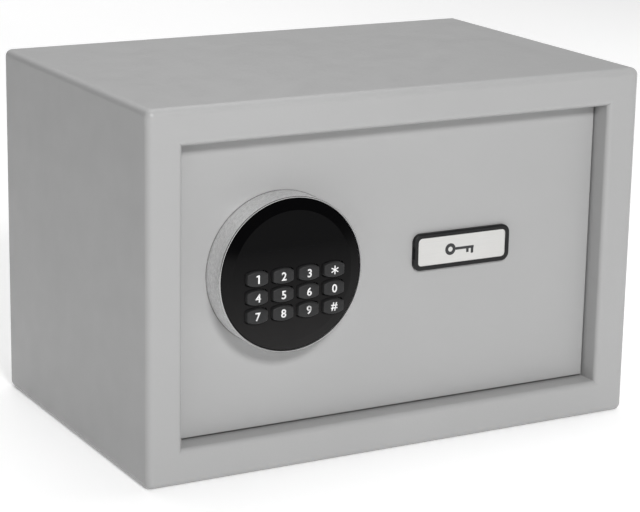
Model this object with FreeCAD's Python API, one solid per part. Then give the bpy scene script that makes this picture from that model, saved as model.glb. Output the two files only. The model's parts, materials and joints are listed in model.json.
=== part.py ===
"""In room safe: a small sheet-steel safe with a keypad door, motor-driven bolts and an override lock.

Drawing coordinates: x to the right, y into the safe from the front face, z up, all from the
front lower left corner, in millimetres. Every piece is moved at export so that the origin is
the middle of the whole object's footprint, on the surface that it stands on.
"""
import FreeCAD, Part
import math
import os

Vector = FreeCAD.Vector

# ---------------------------------------------------------------- driving dimensions
WIDTH = 300.0
BODY_DEPTH = 195.0
HEIGHT = 200.0

SHEET = 2.0                    # body sheet thickness
EDGE_RADIUS = 4.0              # outside bend of the body
FRAME_FACE = 20.0              # front frame, outer edge to doorway
FRAME_ROLL = 3.0               # outside bend into the doorway
REVEAL_DEPTH = 19.0            # doorway flange, back from the front face
REAR_BORDER = 14.0             # rear edge to the opening that the back panel closes

DOOR_RECESS = 12.5
DOOR_THICKNESS = 4.0
DOOR_EDGE = 0.8
HINGE_GAP = 1.2
LATCH_GAP = 1.0
SILL_GAP = 1.0

HINGE_X = 23.5
HINGE_Y = 15.0
HINGE_PIN_RADIUS = 1.75
RUNNING_FIT = 0.05

KEYPAD_X = 80.8
KEYPAD_Z = 107.4
BEZEL_RADIUS = 41.8
BEZEL_WALL = 0.7
BEZEL_FRONT = -2.8             # front edge of the ring, ahead of the body's front face
FACE_RISE = 1.9                # crown of the black face ahead of the ring
KEY_WIDTH = 12.0
KEY_HEIGHT = 5.9               # at the sides; the top and bottom edges bow outwards
KEY_BOW = 1.1
KEY_CORNER = 1.0
KEY_PITCH_X = 14.95
KEY_PITCH_Z = 9.95
KEY_STAND = 2.3                # key top ahead of the face's crown
KEY_TRAVEL = 1.5
KEYS_X = KEYPAD_X + 1.0        # middle of the key field
KEYS_TOP_Z = KEYPAD_Z + 1.0    # upper row

LOCK_X = 193.5
LOCK_Z = 106.3
COVER_WIDTH = 61.4
COVER_HEIGHT = 20.6
COVER_DEPTH = 2.4

BOLT_RADIUS = 8.0
BOLT_Y = 28.0
BOLT_ZS = (62.0, 138.0)
BOLT_TIP = 278.0               # withdrawn
BOLT_THROW = 14.0

RACK_MODULE = 1.0
RACK_PINION_TEETH = 14
TRAIN_MODULE = 0.8
DRIVE_TEETH = 38
MOTOR_TEETH = 12
GEAR_X = 178.0
GEAR_Z = 72.0
PRESSURE_ANGLE = math.radians(25.0)
ADDENDUM = 0.75                # short teeth, in modules
DEDENDUM = 1.0
BACKLASH = 0.16

INNER_X0, INNER_X1 = 32.0, 266.0
INNER_Z0, INNER_Z1 = 28.0, 172.0
INNER_BACK = 46.0
INNER_SHEET = 1.2

FIXING_SPACING = 150.0
FIXING_RADIUS = 5.25
FIXING_Y = 105.0
MAT_THICKNESS = 3.0

# ---------------------------------------------------------------- derived places
DOOR_X0 = FRAME_FACE + HINGE_GAP
DOOR_X1 = WIDTH - FRAME_FACE - LATCH_GAP
DOOR_Z0 = FRAME_FACE + SILL_GAP
DOOR_Z1 = HEIGHT - FRAME_FACE - SILL_GAP
DOOR_BACK = DOOR_RECESS + DOOR_THICKNESS
FACE_CROWN = BEZEL_FRONT - FACE_RISE
KEY_TOP = FACE_CROWN - KEY_STAND
FRONT_Y = -(BODY_DEPTH - KEY_TOP) / 2 - KEY_TOP
FIXING_XS = (WIDTH / 2 - FIXING_SPACING / 2, WIDTH / 2 + FIXING_SPACING / 2)
CHASSIS_Y = DOOR_BACK + 1.5    # rear face of the lock chassis
COVER_FRONT = DOOR_RECESS - COVER_DEPTH

os.makedirs("parts", exist_ok=True)


# ---------------------------------------------------------------- helpers
def box(x0, x1, y0, y1, z0, z1):
    return Part.makeBox(x1 - x0, y1 - y0, z1 - z0, Vector(x0, y0, z0))


def rod_x(y, z, radius, x0, x1):
    return Part.makeCylinder(radius, x1 - x0, Vector(x0, y, z), Vector(1, 0, 0))


def rod_y(x, z, radius, y0, y1):
    return Part.makeCylinder(radius, y1 - y0, Vector(x, y0, z), Vector(0, 1, 0))


def rod_z(x, y, radius, z0, z1):
    return Part.makeCylinder(radius, z1 - z0, Vector(x, y, z0), Vector(0, 0, 1))


def ring_y(x, z, outer, inner, y0, y1):
    return rod_y(x, z, outer, y0, y1).cut(rod_y(x, z, inner, y0 - 1, y1 + 1))


def fuse(first, *others):
    return first.fuse(list(others)).removeSplitter()


def cut(first, *others):
    return first.cut(list(others))


def rounded_plate(x, z, width, height, radius, y0, y1):
    """A plate facing the front, centred on x and z, with rounded corners."""
    plate = box(x - width / 2, x + width / 2, y0, y1, z - height / 2, z + height / 2)
    corners = [edge for edge in plate.Edges if abs(edge.Vertexes[0].Y - edge.Vertexes[-1].Y) > 1e-6]
    return plate.makeFillet(radius, corners)


def prism_y(points, y0, y1):
    """A closed outline of (x, z) points drawn in the front plane and carried back."""
    corners = [Vector(x, y0, z) for x, z in points]
    outline = Part.makePolygon(corners + corners[:1])
    return Part.Face(outline).extrude(Vector(0, y1 - y0, 0))


def hexagon(x, z, across_flats, y0, y1):
    corner = across_flats / math.sqrt(3)
    points = []
    for step in range(6):
        angle = math.radians(60 * step)
        points.append((x + corner * math.cos(angle), z + corner * math.sin(angle)))
    return prism_y(points, y0, y1)


def turned(profile, x, z):
    """A solid of revolution about the line through x, z along y. The profile is (radius, y)."""
    corners = [Vector(x + radius, y, z) for radius, y in profile]
    outline = Part.makePolygon(corners + corners[:1])
    return Part.Face(outline).revolve(Vector(x, 0, z), Vector(0, 1, 0), 360)


def edges_at_y(shape, y, tolerance=1e-4):
    """Edges that lie wholly in the plane at y."""
    return [edge for edge in shape.Edges
            if abs(edge.BoundBox.YMin - y) < tolerance and abs(edge.BoundBox.YMax - y) < tolerance]


def pan_screw_y(x, z, head_radius, head_y0, head_y1, shank_radius, shank_y0, shank_y1):
    """A screw along y: a domed head with a cross recess at the head's outer face."""
    head = rod_y(x, z, head_radius, head_y0, head_y1)
    outer = head_y1 if shank_y0 < head_y0 else head_y0
    head = head.makeFillet(0.45 * (head_y1 - head_y0), edges_at_y(head, outer))
    arm = 0.6 * head_radius
    slot = 0.16 * head_radius
    deep = 0.45 * (head_y1 - head_y0)
    low, high = (outer - deep, outer + 1) if outer == head_y1 else (outer - 1, outer + deep)
    recess = fuse(box(x - arm, x + arm, low, high, z - slot, z + slot),
                  box(x - slot, x + slot, low, high, z - arm, z + arm))
    shank = rod_y(x, z, shank_radius, shank_y0, shank_y1)
    return fuse(head, shank).cut(recess)


def cable(points, radius):
    """Straight runs joined by tangent arcs as large as the two runs allow."""
    points = [Vector(*point) for point in points]
    edges = []
    start = points[0]
    for before, corner, after in zip(points, points[1:], points[2:]):
        arriving = (corner - before).normalize()
        leaving = (after - corner).normalize()
        half_turn = arriving.getAngle(leaving) / 2
        set_back = 0.45 * min(before.distanceToPoint(corner), corner.distanceToPoint(after))
        arc_start = corner - arriving * set_back
        arc_end = corner + leaving * set_back
        bend_radius = set_back / math.tan(half_turn)
        inward = (leaving - arriving).normalize()
        centre = corner + inward * (bend_radius / math.cos(half_turn))
        middle = centre - inward * bend_radius
        edges.append(Part.LineSegment(start, arc_start).toShape())
        edges.append(Part.Arc(arc_start, middle, arc_end).toShape())
        start = arc_end
        print("bend radius", round(bend_radius, 2))
    edges.append(Part.LineSegment(start, points[-1]).toShape())
    path = Part.Wire(edges)
    direction = points[1] - points[0]
    section = Part.Wire(Part.makeCircle(radius, points[0], direction))
    tube = path.makePipeShell([section], True, False)
    expected = math.pi * radius ** 2 * path.Length
    print("cable volume", round(tube.Volume, 1), "section x length", round(expected, 1))
    return tube


def gear_outline(x, z, module, teeth, phase):
    """Involute spur gear outline. The phase is the angle of one tooth's middle, from x towards z."""
    pitch = module * teeth / 2
    base = pitch * math.cos(PRESSURE_ANGLE)
    tip = pitch + ADDENDUM * module
    root = pitch - DEDENDUM * module
    half_tooth = (math.pi * module / 2 - BACKLASH) / 2 / pitch
    flare = math.tan(PRESSURE_ANGLE) - PRESSURE_ANGLE
    start = max(base, root)
    steps = 5
    flank = [(root, half_tooth + flare)] if root < base else []
    for step in range(steps + 1):
        radius = start + (tip - start) * step / steps
        rolled = math.acos(base / radius)
        flank.append((radius, half_tooth + flare - (math.tan(rolled) - rolled)))
    points = []
    for tooth in range(teeth):
        middle = phase + 2 * math.pi * tooth / teeth
        for radius, half in flank:
            points.append((x + radius * math.cos(middle - half), z + radius * math.sin(middle - half)))
        for radius, half in reversed(flank):
            points.append((x + radius * math.cos(middle + half), z + radius * math.sin(middle + half)))
    return points


def export(name, shape):
    """Writes one piece, or a group of separate solids, about the object's own origin."""
    placed = shape.copy()
    placed.translate(Vector(-WIDTH / 2, FRONT_Y, 0))
    placed.exportStep("parts/" + name + ".step")
    print(name, "solids", len(placed.Solids), "valid", placed.isValid(), round(placed.Volume, 1))


def export_group(name, shapes):
    export(name, Part.makeCompound(shapes))


# ---------------------------------------------------------------- body
STOP_X = 245.0                 # upper and lower stops
STOP_LENGTH = 18.0
STOP_REACH = 7.0
BUSH_NOSE_RADIUS = 2.5
BUMPER_GAP = 0.3


def body_skin():
    """The whole outer skin: wrap, rear border, folded front and doorway flange."""
    block = box(0, WIDTH, 0, BODY_DEPTH, 0, HEIGHT)
    block = block.makeFillet(EDGE_RADIUS, block.Edges)
    hollow = box(SHEET, WIDTH - SHEET, SHEET, BODY_DEPTH - SHEET, SHEET, HEIGHT - SHEET)
    hollow = hollow.makeFillet(EDGE_RADIUS - SHEET, hollow.Edges)
    doorway = box(FRAME_FACE, WIDTH - FRAME_FACE, -1, REVEAL_DEPTH + 1, FRAME_FACE, HEIGHT - FRAME_FACE)
    rear = box(REAR_BORDER, WIDTH - REAR_BORDER, BODY_DEPTH - 2 * SHEET, BODY_DEPTH + 1,
               REAR_BORDER, HEIGHT - REAR_BORDER)
    outside = FRAME_FACE - SHEET
    reveal = box(outside, WIDTH - outside, SHEET / 2, REVEAL_DEPTH, outside, HEIGHT - outside)
    skin = fuse(cut(block, hollow), reveal).cut(doorway)
    rolled = [edge for edge in edges_at_y(skin, 0)
              if FRAME_FACE - 1e-3 <= edge.BoundBox.XMin and edge.BoundBox.XMax <= WIDTH - FRAME_FACE + 1e-3]
    skin = skin.makeFillet(FRAME_ROLL, rolled)
    holes = [rod_z(x, FIXING_Y, FIXING_RADIUS, -1, SHEET + 1) for x in FIXING_XS]
    for z in (FRAME_FACE - SHEET - 1, HEIGHT - FRAME_FACE - 1):
        holes.append(rod_z(HINGE_X, HINGE_Y, BUSH_NOSE_RADIUS, z, z + SHEET + 2))
    return cut(skin, rear, *holes)


def frame_zone():
    """Space of the front frame: everything ahead of the weld to the wrap, and the doorway flange."""
    near = FRAME_FACE - SHEET - 1
    face = box(-1, WIDTH + 1, -1, EDGE_RADIUS, -1, HEIGHT + 1)
    flange = box(near, WIDTH - near, -1, REVEAL_DEPTH + 1, near, HEIGHT - near)
    return fuse(face, flange)


def door_stops():
    """Tabs welded behind the doorway flange, which carry the door's bumpers."""
    near = FRAME_FACE - SHEET
    y0, y1 = REVEAL_DEPTH, REVEAL_DEPTH + SHEET
    half = STOP_LENGTH / 2
    right = box(WIDTH - near - STOP_REACH, WIDTH - near, y0, y1, HEIGHT / 2 - half, HEIGHT / 2 + half)
    lower = box(STOP_X - half, STOP_X + half, y0, y1, near, near + STOP_REACH)
    upper = box(STOP_X - half, STOP_X + half, y0, y1, HEIGHT - near - STOP_REACH, HEIGHT - near)
    return [right, lower, upper]


def door_bumpers():
    y0, y1 = DOOR_BACK + BUMPER_GAP, REVEAL_DEPTH
    inset = FRAME_FACE + 3.0
    places = ((WIDTH - inset, HEIGHT / 2), (STOP_X, inset), (STOP_X, HEIGHT - inset))
    pads = []
    for x, z in places:
        pad = rod_y(x, z, 1.8, y0, y1)
        pads.append(pad.makeFillet(0.5, edges_at_y(pad, y0)))
    return pads


def back_panel():
    inset = EDGE_RADIUS + 0.2
    y1 = BODY_DEPTH - SHEET
    panel = box(inset, WIDTH - inset, y1 - SHEET, y1, inset, HEIGHT - inset)
    holes = [rod_y(x, HEIGHT / 2, FIXING_RADIUS, y1 - SHEET - 1, y1 + 1) for x in FIXING_XS]
    return cut(panel, *holes)


def interior_mat():
    edge = SHEET + 2.0
    mat = box(edge, WIDTH - edge, REVEAL_DEPTH + 4, BODY_DEPTH - 2 * SHEET - 1, SHEET, SHEET + MAT_THICKNESS)
    holes = [rod_z(x, FIXING_Y, FIXING_RADIUS + 3, 0, 10) for x in FIXING_XS]
    return cut(mat, *holes)


def hinge_bush(sign):
    """Stepped bush pushed through the flange from its hidden side; its nose spaces the door."""
    flange = FRAME_FACE if sign < 0 else HEIGHT - FRAME_FACE
    nose_end = flange - sign * (SILL_GAP - 2 * RUNNING_FIT)
    seat = flange + sign * SHEET
    spans = ((BUSH_NOSE_RADIUS, nose_end, seat), (5.0, seat, seat + sign * 2), (4.0, seat, seat + sign * 5))
    pieces = [rod_z(HINGE_X, HINGE_Y, radius, min(a, b), max(a, b)) for radius, a, b in spans]
    bore = rod_z(HINGE_X, HINGE_Y, HINGE_PIN_RADIUS + RUNNING_FIT, flange - 10, flange + 10)
    return fuse(*pieces).cut(bore)


# ---------------------------------------------------------------- door
LUG_X1 = 31.0
LUG_BACK = 23.0
LUG_HEIGHT = 16.0
CABLE_HOLE_Z = 100.0
KEYPAD_SCREW_XS = (KEYPAD_X - 25.0, KEYPAD_X + 25.0)
CHASSIS_STUDS = ((156.0, 46.0), (156.0, 154.0), (256.0, 46.0), (256.0, 154.0))
PEG_XS = (LOCK_X - 24.0, LOCK_X + 24.0)
LOCK_BARREL_RADIUS = 7.4


def door_panel():
    plate = box(DOOR_X0, DOOR_X1, DOOR_RECESS, DOOR_BACK, DOOR_Z0, DOOR_Z1)
    plate = plate.makeFillet(DOOR_EDGE, edges_at_y(plate, DOOR_RECESS))
    lugs = [box(DOOR_X0, LUG_X1, DOOR_BACK - 1, LUG_BACK, z0, z0 + LUG_HEIGHT)
            for z0 in (DOOR_Z0, DOOR_Z1 - LUG_HEIGHT)]
    studs = [rod_y(x, z, 2.0, DOOR_BACK - 1, CHASSIS_Y + 5) for x, z in CHASSIS_STUDS]
    holes = [rod_z(HINGE_X, HINGE_Y, HINGE_PIN_RADIUS, DOOR_Z0 - 1, DOOR_Z0 + 10),
             rod_z(HINGE_X, HINGE_Y, HINGE_PIN_RADIUS, DOOR_Z1 - 10, DOOR_Z1 + 1),
             rod_y(KEYPAD_X, CABLE_HOLE_Z, 4.0, 0, DOOR_BACK + 1),
             rod_y(LOCK_X, LOCK_Z, LOCK_BARREL_RADIUS + 0.1, 0, DOOR_BACK + 1)]
    holes += [rod_y(x, KEYPAD_Z, 2.25, 0, DOOR_BACK + 1) for x in KEYPAD_SCREW_XS]
    holes += [rod_y(x, LOCK_Z, 2.0, 0, DOOR_BACK + 1) for x in PEG_XS]
    return cut(fuse(plate, *lugs, *studs), *holes)


def hinge_pins():
    reach = 7.0
    lower = rod_z(HINGE_X, HINGE_Y, HINGE_PIN_RADIUS, FRAME_FACE - reach, DOOR_Z0 + 10)
    upper = rod_z(HINGE_X, HINGE_Y, HINGE_PIN_RADIUS, DOOR_Z1 - 10, HEIGHT - FRAME_FACE + reach)
    return [lower, upper]


# ---------------------------------------------------------------- keypad
GASKET = 0.35
BEZEL_BACK = DOOR_RECESS - GASKET
HOUSING_BACK = BEZEL_BACK - 1.2
FACE_RADIUS = BEZEL_RADIUS - BEZEL_WALL - 0.3
FACE_BAND = 34.8               # radius where the sloping band meets the crowned disc
FACE_REAR = -1.8
FACE_SEAT = -0.6
KEY_FLANGE_Y0 = FACE_REAR + 0.3
KEY_FLANGE_Y1 = KEY_FLANGE_Y0 + 1.0
WEB_Y0 = KEY_FLANGE_Y1 + KEY_TRAVEL + 0.4
BOARD_Y0 = 3.6
BOARD_Y1 = 5.2
PLUNGER_RADIUS = 1.5


def bezel_ring():
    inner = BEZEL_RADIUS - BEZEL_WALL
    chamfer = 0.3
    profile = ((36.0, BEZEL_BACK), (BEZEL_RADIUS, BEZEL_BACK), (BEZEL_RADIUS, BEZEL_FRONT + chamfer),
               (BEZEL_RADIUS - chamfer, BEZEL_FRONT), (inner, BEZEL_FRONT), (inner, HOUSING_BACK),
               (36.0, HOUSING_BACK))
    return turned(profile, KEYPAD_X, KEYPAD_Z)


def keypad_housing():
    outer, inner = FACE_RADIUS, FACE_RADIUS - 1.8
    cup = rod_y(KEYPAD_X, KEYPAD_Z, outer, FACE_SEAT, HOUSING_BACK)
    cup = cup.cut(rod_y(KEYPAD_X, KEYPAD_Z, inner, FACE_SEAT - 1, HOUSING_BACK - 1.6))
    bosses = [rod_y(x, KEYPAD_Z, 3.2, BOARD_Y1 + 0.1, HOUSING_BACK - 1) for x in KEYPAD_SCREW_XS]
    pilots = [rod_y(x, KEYPAD_Z, 1.5, BOARD_Y1 + 1, HOUSING_BACK + 1) for x in KEYPAD_SCREW_XS]
    return cut(fuse(cup, *bosses), *pilots, rod_y(KEYPAD_X, CABLE_HOLE_Z, 3.5, 0, HOUSING_BACK + 1))


def dome_y(radius):
    """Front surface of the face's crowned disc at a radius from its middle."""
    drop = 0.5
    return FACE_CROWN + drop * (radius / FACE_BAND) ** 2


def keypad_face():
    centre = Vector(KEYPAD_X, 0, KEYPAD_Z)

    def at(radius, y):
        return Vector(KEYPAD_X, y, KEYPAD_Z + radius)

    shoulder = FACE_RADIUS - 0.5
    rim = BEZEL_FRONT + 0.2
    pocket = FACE_RADIUS - 2.0
    edges = [Part.Arc(at(0, dome_y(0)), at(FACE_BAND / 2, dome_y(FACE_BAND / 2)),
                      at(FACE_BAND, dome_y(FACE_BAND))).toShape()]
    corners = (at(FACE_BAND, dome_y(FACE_BAND)), at(shoulder, rim), at(FACE_RADIUS, rim + 0.4),
               at(FACE_RADIUS, FACE_SEAT), at(pocket, FACE_SEAT), at(pocket, FACE_REAR),
               at(0, FACE_REAR), at(0, dome_y(0)))
    for start, end in zip(corners, corners[1:]):
        edges.append(Part.LineSegment(start, end).toShape())
    face = Part.Face(Part.Wire(edges)).revolve(centre, Vector(0, 1, 0), 360)
    windows = [key_prism(x, z, 0.35, KEY_TOP - 1, FACE_REAR + 1) for name, x, z in key_places()]
    return cut(face, *windows)


def key_places():
    rows = (("1", "2", "3", "star"), ("4", "5", "6", "0"), ("7", "8", "9", "hash"))
    places = []
    for row, names in enumerate(rows):
        for column, name in enumerate(names):
            x = KEYS_X + (column - 1.5) * KEY_PITCH_X
            z = KEYS_TOP_Z - row * KEY_PITCH_Z
            places.append((name, x, z))
    return places


def key_prism(x, z, grow, y0, y1):
    """Barrel outline: straight sides, bowed top and bottom, rounded corners."""
    half_w = KEY_WIDTH / 2 + grow
    half_h = KEY_HEIGHT / 2 + grow
    bowed = half_h + KEY_BOW
    sides = []
    for sign in (1, -1):
        start = Vector(x - sign * half_w, y0, z + sign * half_h)
        end = Vector(x + sign * half_w, y0, z + sign * half_h)
        sides.append(Part.Arc(start, Vector(x, y0, z + sign * bowed), end).toShape())
        sides.append(Part.LineSegment(end, Vector(end.x, y0, z - sign * half_h)).toShape())
    prism = Part.Face(Part.Wire(sides)).extrude(Vector(0, y1 - y0, 0))
    corners = [edge for edge in prism.Edges if edge.BoundBox.YLength > abs(y1 - y0) - 1e-4]
    return prism.makeFillet(KEY_CORNER, corners)


def keypad_key(x, z):
    cap = key_prism(x, z, 0, KEY_TOP, KEY_FLANGE_Y0 + 0.5)
    cap = cap.makeFillet(0.7, edges_at_y(cap, KEY_TOP))
    flange = rounded_plate(x, z, KEY_WIDTH + 1.4, KEY_HEIGHT + 2 * KEY_BOW + 1.0, 1.0,
                           KEY_FLANGE_Y0, KEY_FLANGE_Y1)
    plunger = rod_y(x, z, PLUNGER_RADIUS, KEY_FLANGE_Y1 - 0.2, KEY_FLANGE_Y1 + 2.0)
    return fuse(cap, flange, plunger)


def keypad_web():
    """Soft web behind the keys, open above them for the display module."""
    web = rod_y(KEYPAD_X, KEYPAD_Z, 36.5, WEB_Y0, WEB_Y0 + 1.0)
    above = box(KEYPAD_X - 50, KEYPAD_X + 50, -10, 10, KEYPAD_Z + 7.5, KEYPAD_Z + 60)
    holes = [rod_y(x, z, PLUNGER_RADIUS + 0.4, -10, 10) for name, x, z in key_places()]
    return cut(web, above, *holes)


def keypad_board():
    return rod_y(KEYPAD_X, KEYPAD_Z, 36.8, BOARD_Y0, BOARD_Y1)


def display_module():
    front, back = FACE_REAR + 0.3, BOARD_Y0
    return rounded_plate(KEYPAD_X, KEYPAD_Z + 16.0, 34.0, 13.0, 1.0, front, back)


def keypad_screws():
    return [pan_screw_y(x, KEYPAD_Z, 3.6, DOOR_BACK, DOOR_BACK + 2.2, 1.5, BOARD_Y1 + 1.2, DOOR_BACK)
            for x in KEYPAD_SCREW_XS]


# ---------------------------------------------------------------- override cover and lock
PLATE_WIDTH = 55.8
PLATE_HEIGHT = 15.4
PLATE_SINK = 0.35
PLATE_THICKNESS = 0.8
PLUG_RADIUS = 4.5
LOCK_REAR = 34.0
CAM_Y0 = 36.0
CAM_Y1 = 38.5
CAM_REACH = 14.5
CAM_TIP_RADIUS = 3.5
CAM_HUB_RADIUS = 6.0
CAM_REST_ANGLE = math.radians(30.0)


def override_cover():
    frame = rounded_plate(LOCK_X, LOCK_Z, COVER_WIDTH, COVER_HEIGHT, 4.6, COVER_FRONT, DOOR_RECESS)
    frame = frame.makeFillet(0.9, edges_at_y(frame, COVER_FRONT))
    seat = rounded_plate(LOCK_X, LOCK_Z, PLATE_WIDTH + 0.2, PLATE_HEIGHT + 0.2, 2.3,
                         COVER_FRONT - 1, COVER_FRONT + PLATE_SINK + PLATE_THICKNESS)
    hollow = rounded_plate(LOCK_X, LOCK_Z, 40.0, PLATE_HEIGHT + 0.2, 2.0,
                           COVER_FRONT, DOOR_RECESS + 1)
    notch_x = LOCK_X - COVER_WIDTH / 2
    notch = rounded_plate(notch_x, LOCK_Z, 1.4, 7.0, 0.65, COVER_FRONT - 1, DOOR_RECESS - 0.8)
    pegs = [rod_y(x, LOCK_Z, 1.7, DOOR_RECESS - 0.8, DOOR_BACK - 0.1) for x in PEG_XS]
    return fuse(cut(frame, seat, hollow, notch), *pegs)


def cover_plate():
    y0 = COVER_FRONT + PLATE_SINK
    return rounded_plate(LOCK_X, LOCK_Z, PLATE_WIDTH, PLATE_HEIGHT, 2.2, y0, y0 + PLATE_THICKNESS)


def lock_housing():
    barrel = rod_y(LOCK_X, LOCK_Z, LOCK_BARREL_RADIUS, DOOR_RECESS - 0.6, LOCK_REAR)
    return barrel.cut(rod_y(LOCK_X, LOCK_Z, PLUG_RADIUS + RUNNING_FIT, 0, LOCK_REAR + 1))


def lock_nut():
    nut = hexagon(LOCK_X, LOCK_Z, 20.0, CHASSIS_Y, CHASSIS_Y + 4)
    return nut.cut(rod_y(LOCK_X, LOCK_Z, LOCK_BARREL_RADIUS, CHASSIS_Y - 1, CHASSIS_Y + 5))


def lock_plug():
    plug = rod_y(LOCK_X, LOCK_Z, PLUG_RADIUS, DOOR_RECESS - 0.6, CAM_Y0)
    drive = box(LOCK_X - 2.5, LOCK_X + 2.5, CAM_Y0 - 0.5, CAM_Y1, LOCK_Z - 2.5, LOCK_Z + 2.5)
    keyway = fuse(box(LOCK_X - 0.7, LOCK_X + 0.7, 0, 26, LOCK_Z - 3.4, LOCK_Z + 3.4),
                  box(LOCK_X - 1.4, LOCK_X + 0.7, 0, 26, LOCK_Z - 0.6, LOCK_Z + 0.6))
    tapped = rod_y(LOCK_X, LOCK_Z, 1.5, 30, CAM_Y1 + 1)
    return cut(fuse(plug, drive), keyway, tapped)


def lock_cam():
    tip_x = LOCK_X + CAM_REACH * math.cos(CAM_REST_ANGLE)
    tip_z = LOCK_Z + CAM_REACH * math.sin(CAM_REST_ANGLE)
    spread = math.asin((CAM_HUB_RADIUS - CAM_TIP_RADIUS) / CAM_REACH)
    flanks = []
    for x, z, radius in ((LOCK_X, LOCK_Z, CAM_HUB_RADIUS), (tip_x, tip_z, CAM_TIP_RADIUS)):
        pair = [CAM_REST_ANGLE + sign * (math.pi / 2 - spread) for sign in (1, -1)]
        flanks.append([(x + radius * math.cos(angle), z + radius * math.sin(angle)) for angle in pair])
    web = prism_y([flanks[0][0], flanks[0][1], flanks[1][1], flanks[1][0]], CAM_Y0, CAM_Y1)
    cam = fuse(web, rod_y(LOCK_X, LOCK_Z, CAM_HUB_RADIUS, CAM_Y0, CAM_Y1),
               rod_y(tip_x, tip_z, CAM_TIP_RADIUS, CAM_Y0, CAM_Y1))
    return cam.cut(box(LOCK_X - 2.5, LOCK_X + 2.5, CAM_Y0 - 1, CAM_Y1 + 1, LOCK_Z - 2.5, LOCK_Z + 2.5))


def cam_screw():
    return pan_screw_y(LOCK_X, LOCK_Z, 4.0, CAM_Y1, CAM_Y1 + 2.4, 1.5, 31.0, CAM_Y1)


# ---------------------------------------------------------------- bolt work
CARRIAGE_Y0 = 31.5
CARRIAGE_Y1 = 34.5
CARRIAGE_X0 = 206.0
TAB_X0 = 244.0
TAB_X1 = 247.0
GUIDE_X = 236.0
GUIDE_ZS = (76.0, 124.0)
GUIDE_RADIUS = 2.0
FLANGE_X0 = 262.5
FLANGE_X1 = 264.0
RACK_X0 = 160.0
RACK_TOP = 88.0
RACK_LINE = GEAR_Z + RACK_MODULE * RACK_PINION_TEETH / 2
DRIVE_Y0 = 38.0
DRIVE_Y1 = 42.0
PINION_Y0 = 30.4
AXLE_RADIUS = 1.5
MOTOR_Z = GEAR_Z - TRAIN_MODULE * (DRIVE_TEETH + MOTOR_TEETH) / 2
MOTOR_RADIUS = 10.0
MOTOR_Y0 = CHASSIS_Y + 0.5
MOTOR_Y1 = 34.0


def lock_chassis():
    base = box(150, FLANGE_X1, DOOR_BACK, CHASSIS_Y, 40, 160)
    flange = box(FLANGE_X0, FLANGE_X1, DOOR_BACK, 38.0, 48, 152)
    holes = [rod_y(x, z, 2.0, DOOR_BACK - 1, CHASSIS_Y + 1) for x, z in CHASSIS_STUDS]
    holes.append(rod_y(LOCK_X, LOCK_Z, LOCK_BARREL_RADIUS + 0.1, DOOR_BACK - 1, CHASSIS_Y + 1))
    holes += [rod_y(x, LOCK_Z, 3.0, DOOR_BACK - 1, CHASSIS_Y + 1) for x in PEG_XS]
    holes += [rod_x(BOLT_Y, z, BOLT_RADIUS + RUNNING_FIT, FLANGE_X0 - 1, FLANGE_X1 + 1) for z in BOLT_ZS]
    seat = ring_y(GEAR_X, MOTOR_Z, MOTOR_RADIUS + 1.5, MOTOR_RADIUS + 0.1, CHASSIS_Y - 0.5, CHASSIS_Y + 7)
    return cut(fuse(base, flange, seat), *holes)


def chassis_nuts():
    nuts = []
    for x, z in CHASSIS_STUDS:
        nut = hexagon(x, z, 7.0, CHASSIS_Y, CHASSIS_Y + 3.2)
        nuts.append(nut.cut(rod_y(x, z, 2.0, CHASSIS_Y - 1, CHASSIS_Y + 5)))
    return nuts


def guide_studs():
    studs = []
    for z in GUIDE_ZS:
        collar = rod_y(GUIDE_X, z, 3.5, CHASSIS_Y, CARRIAGE_Y0 - 0.4)
        shaft = rod_y(GUIDE_X, z, GUIDE_RADIUS, CHASSIS_Y, CARRIAGE_Y1 + 0.5)
        head = rod_y(GUIDE_X, z, 4.0, CARRIAGE_Y1 + 0.4, CARRIAGE_Y1 + 1.9)
        studs.append(fuse(collar, shaft, head))
    return studs


def rack_outline():
    """Rack body with teeth pointing down at the pinion. A gap's middle is over the pinion at rest."""
    pitch = math.pi * RACK_MODULE
    tip = RACK_LINE - ADDENDUM * RACK_MODULE
    root = RACK_LINE + DEDENDUM * RACK_MODULE
    slope = math.tan(PRESSURE_ANGLE)
    half = (pitch / 2 - BACKLASH) / 2
    points = [(CARRIAGE_X0 + 1, RACK_TOP), (RACK_X0, RACK_TOP), (RACK_X0, root)]
    first = math.ceil((RACK_X0 + pitch - GEAR_X) / pitch - 0.5) + 0.5
    teeth = 12
    for tooth in range(teeth):
        middle = GEAR_X + (first + tooth) * pitch
        points.append((middle - half - slope * (root - RACK_LINE), root))
        points.append((middle - half + slope * (RACK_LINE - tip), tip))
        points.append((middle + half - slope * (RACK_LINE - tip), tip))
        points.append((middle + half + slope * (root - RACK_LINE), root))
    points.append((CARRIAGE_X0 + 1, root))
    return points


def bolt_carriage():
    plate = box(CARRIAGE_X0, TAB_X1, CARRIAGE_Y0, CARRIAGE_Y1, 54, 146)
    tab = box(TAB_X0, TAB_X1, 20.5, CARRIAGE_Y1, 52, 148)
    rack = prism_y(rack_outline(), CARRIAGE_Y0, CARRIAGE_Y1)
    finger_x1 = LOCK_X + CAM_REACH * math.cos(CAM_REST_ANGLE + math.pi / 2) - CAM_TIP_RADIUS - 0.55
    arm = box(finger_x1 - 3, CARRIAGE_X0 + 1, CARRIAGE_Y0, CARRIAGE_Y1, 116, 124)
    finger = box(finger_x1 - 3, finger_x1, CARRIAGE_Y0, CAM_Y1 + 1, 116, 124)
    slots = []
    for z in GUIDE_ZS:
        low, high = GUIDE_X - BOLT_THROW - 0.3, GUIDE_X + 0.3
        half = GUIDE_RADIUS + 0.1
        slots.append(box(low, high, 20, 40, z - half, z + half))
        slots += [rod_y(x, z, half, 20, 40) for x in (low, high)]
    holes = [rod_x(BOLT_Y, z, 2.0, TAB_X0 - 1, TAB_X1 + 1) for z in BOLT_ZS]
    return cut(fuse(plate, tab, rack, arm, finger), *slots, *holes)


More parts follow.
